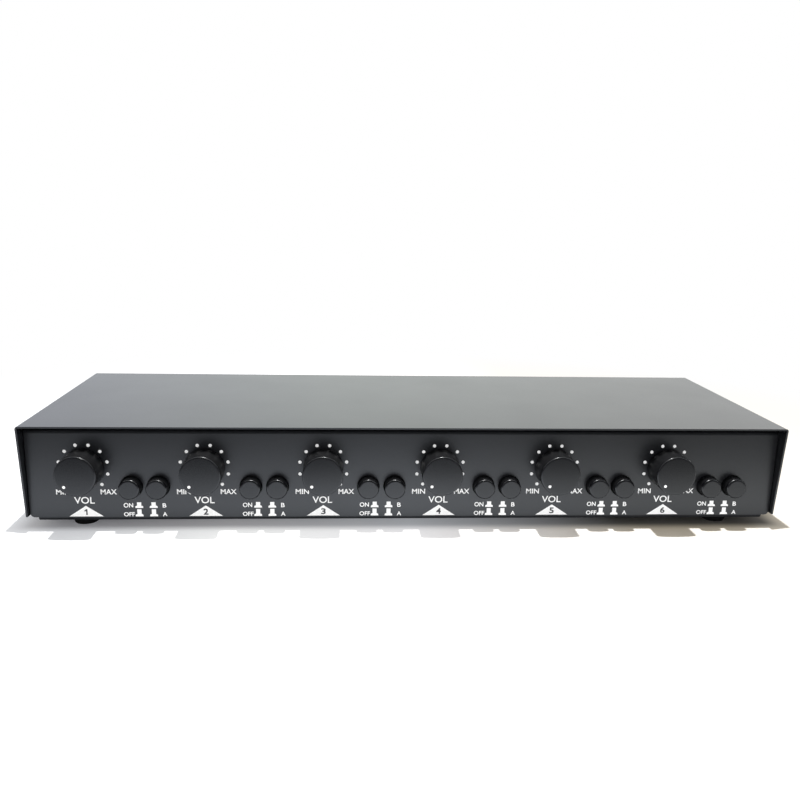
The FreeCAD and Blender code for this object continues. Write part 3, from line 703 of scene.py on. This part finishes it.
# Push switches. Off-white nylon plungers, and return springs of bright wire, coiled in the space of the CAD
# sleeves. Each spring is fixed at its rear end.
plunger_plastic, place = finish("plunger_plastic")
cloud = noise(place, 1.2 * mm, 3.0)
surface(
    place,
    base_color=cloud.colours((0.80, 0.78, 0.72), (0.70, 0.67, 0.58)),
    roughness=0.36 + 0.12 * cloud,
    normal=bumped(noise(place, 0.2 * mm, 2.0), 0.006 * mm),
)
dress(plunger_plastic, *[f"{kind}_plunger_{n}" for kind in ("on_off", "source") for n in zones])

spring_steel, place = finish("spring_steel")
drawn = noise(place, 0.08 * mm, 2.0)
tint = noise(place, 2.5 * mm, 3.0)
surface(
    place,
    base_color=tint.colours((0.66, 0.65, 0.64), (0.50, 0.49, 0.48)),
    metallic=1.0,
    roughness=0.22 + 0.14 * drawn,
    normal=bumped(drawn, 0.004 * mm),
)
wire_radius, wire_sides, coil_radius = 0.22 * mm, 8, 2.55 * mm
coil_turns, coil_steps = 6, 24
spring_front, spring_rear = (corner.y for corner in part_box("push_switch_springs"))
for kind in ("on_off", "source"):
    for n in zones:
        button = axis_of(f"{kind}_button_{n}")
        coil = bmesh.new()
        bmesh.ops.create_circle(
            coil, segments=wire_sides, radius=wire_radius,
            matrix=Matrix.Translation((coil_radius, spring_front + wire_radius, 0)),
        )
        rise = (spring_rear - spring_front - 2 * wire_radius) / (coil_turns * coil_steps)
        bmesh.ops.spin(
            coil, geom=coil.verts[:] + coil.edges[:], cent=(0, 0, 0), axis=(0, 1, 0), dvec=(0, rise, 0),
            angle=math.tau * coil_turns, steps=coil_turns * coil_steps,
        )
        bmesh.ops.holes_fill(coil, edges=coil.edges, sides=wire_sides)
        bmesh.ops.translate(coil, verts=coil.verts, vec=(button.x, 0, button.z))
        name = f"{kind}_spring_{n}"
        spring = piece(coil, name, "chassis", "spring_steel", spring_steel, "push_switch_springs", smooth=60)
        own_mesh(spring)


# Boards. Glass-fibre boards under a green mask with copper tracks below it, on tinned brass standoffs, with
# the tinned pins of the switches.
board, place = finish("board")
along, across = place.part("X"), place.part("Y") + place.part("Z")
track_pitch = 1.6 * mm


def tracks(run):
    """1 on copper tracks that lie side by side along one direction."""
    from_track = (run * (1 / track_pitch)).alone("FRACT") - 0.5
    return from_track.alone("ABSOLUTE").between(0.24, 0.16)


area = noise(place, 14 * mm, 0.0).between(0.47, 0.53)
bare = noise(place.scaled(1.7), 9 * mm, 0.0).between(0.50, 0.56)
copper = (area * tracks(along) + (1 - area) * tracks(across)) * (1 - bare)
weave = noise(place, 0.5 * mm, 2.0)
surface(
    place,
    base_color=(copper * 0.75 + weave * 0.25).colours((0.012, 0.070, 0.030), (0.040, 0.170, 0.070)),
    roughness=0.26 + 0.14 * weave,
    coat_weight=0.4,
    coat_roughness=0.15,
    normal=bumped(copper + 0.1 * weave, 0.03 * mm),
)
dress(board, "switch_board", "main_board")

pin_metal, place = finish("pin_metal")
tin = noise(place, 0.5 * mm, 3.0)
surface(
    place,
    base_color=tin.colours((0.74, 0.71, 0.63), (0.62, 0.61, 0.58)),
    metallic=1.0,
    roughness=0.26 + 0.18 * tin,
    normal=bumped(tin, 0.01 * mm),
)
dress(pin_metal, "switch_pins", "board_standoffs")


# Autoformers. Two for each zone: a stack of varnished half-millimetre steel sheets, a black bobbin, and a
# winding under yellow polyester tape that is wound in overlapping turns.
core_steel, place = finish("core_steel")
sheet_pitch = 0.5 * mm
from_sheet = (place.part("Y") * (1 / sheet_pitch)).alone("FRACT") - 0.5
edge = from_sheet.alone("ABSOLUTE").between(0.30, 0.48)
varnish = noise(place, 4 * mm, 3.0)
surface(
    place,
    base_color=edge.colours(varnish.colours((0.23, 0.22, 0.22), (0.33, 0.32, 0.31)), (0.06, 0.05, 0.045)),
    metallic=0.8,
    roughness=0.34 + 0.2 * varnish + 0.15 * edge,
    normal=bumped(1 - edge, 0.05 * mm),
)
dress(core_steel, "autoformer_cores")

bobbin_plastic, place = finish("bobbin_plastic")
filler = noise(place, 0.3 * mm, 3.0)
flow = noise(place, 8 * mm, 2.0)
surface(
    place,
    base_color=flow.colours((0.012, 0.012, 0.013), (0.032, 0.031, 0.030)),
    roughness=0.38 + 0.14 * filler,
    normal=bumped(filler, 0.01 * mm),
)
dress(bobbin_plastic, "autoformer_bobbins")

winding_tape, place = finish("winding_tape")
tape_pitch = 4.5 * mm
lap = (place.part("Z") * (1 / tape_pitch) + 0.35 * noise(place, 20 * mm, 0.0)).alone("FRACT")
crease = noise(place, 2.5 * mm, 3.0, stretch=(0.3, 0.3, 3))
surface(
    place,
    base_color=(0.7 * lap.between(0.0, 0.12) + 0.3 * crease).colours(
        (0.38, 0.20, 0.018), (0.78, 0.52, 0.065)
    ),
    roughness=0.22 + 0.14 * crease,
    coat_weight=0.5,
    coat_roughness=0.12,
    normal=bumped(lap + 0.25 * crease, 0.06 * mm),
)
dress(winding_tape, "autoformer_windings")


# Ribbon cables. Grey PVC over ten conductors side by side, the first of them marked red, with a cream
# connector at each end.
ribbon_insulation, place = finish("ribbon_insulation")
zone_pitch, conductor_pitch, ribbon_half = 66.8 * mm, 1.27 * mm, 6.35 * mm
from_middle = ((place.part("X") * (1 / zone_pitch)).alone("FRACT") - 0.5) * zone_pitch
rib_and_groove_shade = 0.5 - 0.5 * (from_middle * (math.tau / conductor_pitch)).alone("COSINE")
first_core = from_middle.between(conductor_pitch - ribbon_half, 0.8 * conductor_pitch - ribbon_half)
scuff = noise(place, 1.5 * mm, 3.0)
# Painted shade: the grey is darker in the grooves between the conductors and lighter on their rounded tops.
# The same ribbing also shapes the bump.
grey = (rib_and_groove_shade * 0.6 + scuff * 0.4).colours((0.25, 0.25, 0.26), (0.46, 0.46, 0.48))
surface(
    place,
    base_color=first_core.colours(grey, (0.42, 0.02, 0.02)),
    roughness=0.42 + 0.14 * scuff,
    normal=bumped(rib_and_groove_shade, 0.25 * mm),
)
dress(ribbon_insulation, "zone_ribbons")

connector_plastic, place = finish("connector_plastic")
filler = noise(place, 0.3 * mm, 3.0)
cloud = noise(place, 4 * mm, 2.0)
surface(
    place,
    base_color=cloud.colours((0.78, 0.75, 0.66), (0.70, 0.66, 0.55)),
    roughness=0.40 + 0.12 * filler,
    normal=bumped(filler, 0.01 * mm),
)
dress(connector_plastic, "ribbon_connectors")


# Terminals. Green glass-filled nylon: headers soldered to the main board and pluggable four-pole blocks in
# them, with a fine spark-eroded grain on their outer faces.
for name, node, dark, light in (
    ("header_plastic", "terminal_headers", (0.006, 0.105, 0.032), (0.012, 0.150, 0.050)),
    ("terminal_plastic", "terminal_plugs", (0.008, 0.135, 0.042), (0.016, 0.185, 0.062)),
):
    moulded, place = finish(name)
    grain = noise(place, 0.18 * mm, 3.0)
    flow = noise(place, 7 * mm, 3.0)
    surface(
        place,
        base_color=(flow * 0.65 + grain * 0.35).colours(dark, light),
        roughness=0.40 + 0.18 * grain,
        normal=bumped(grain, 0.02 * mm),
    )
    dress(moulded, node)
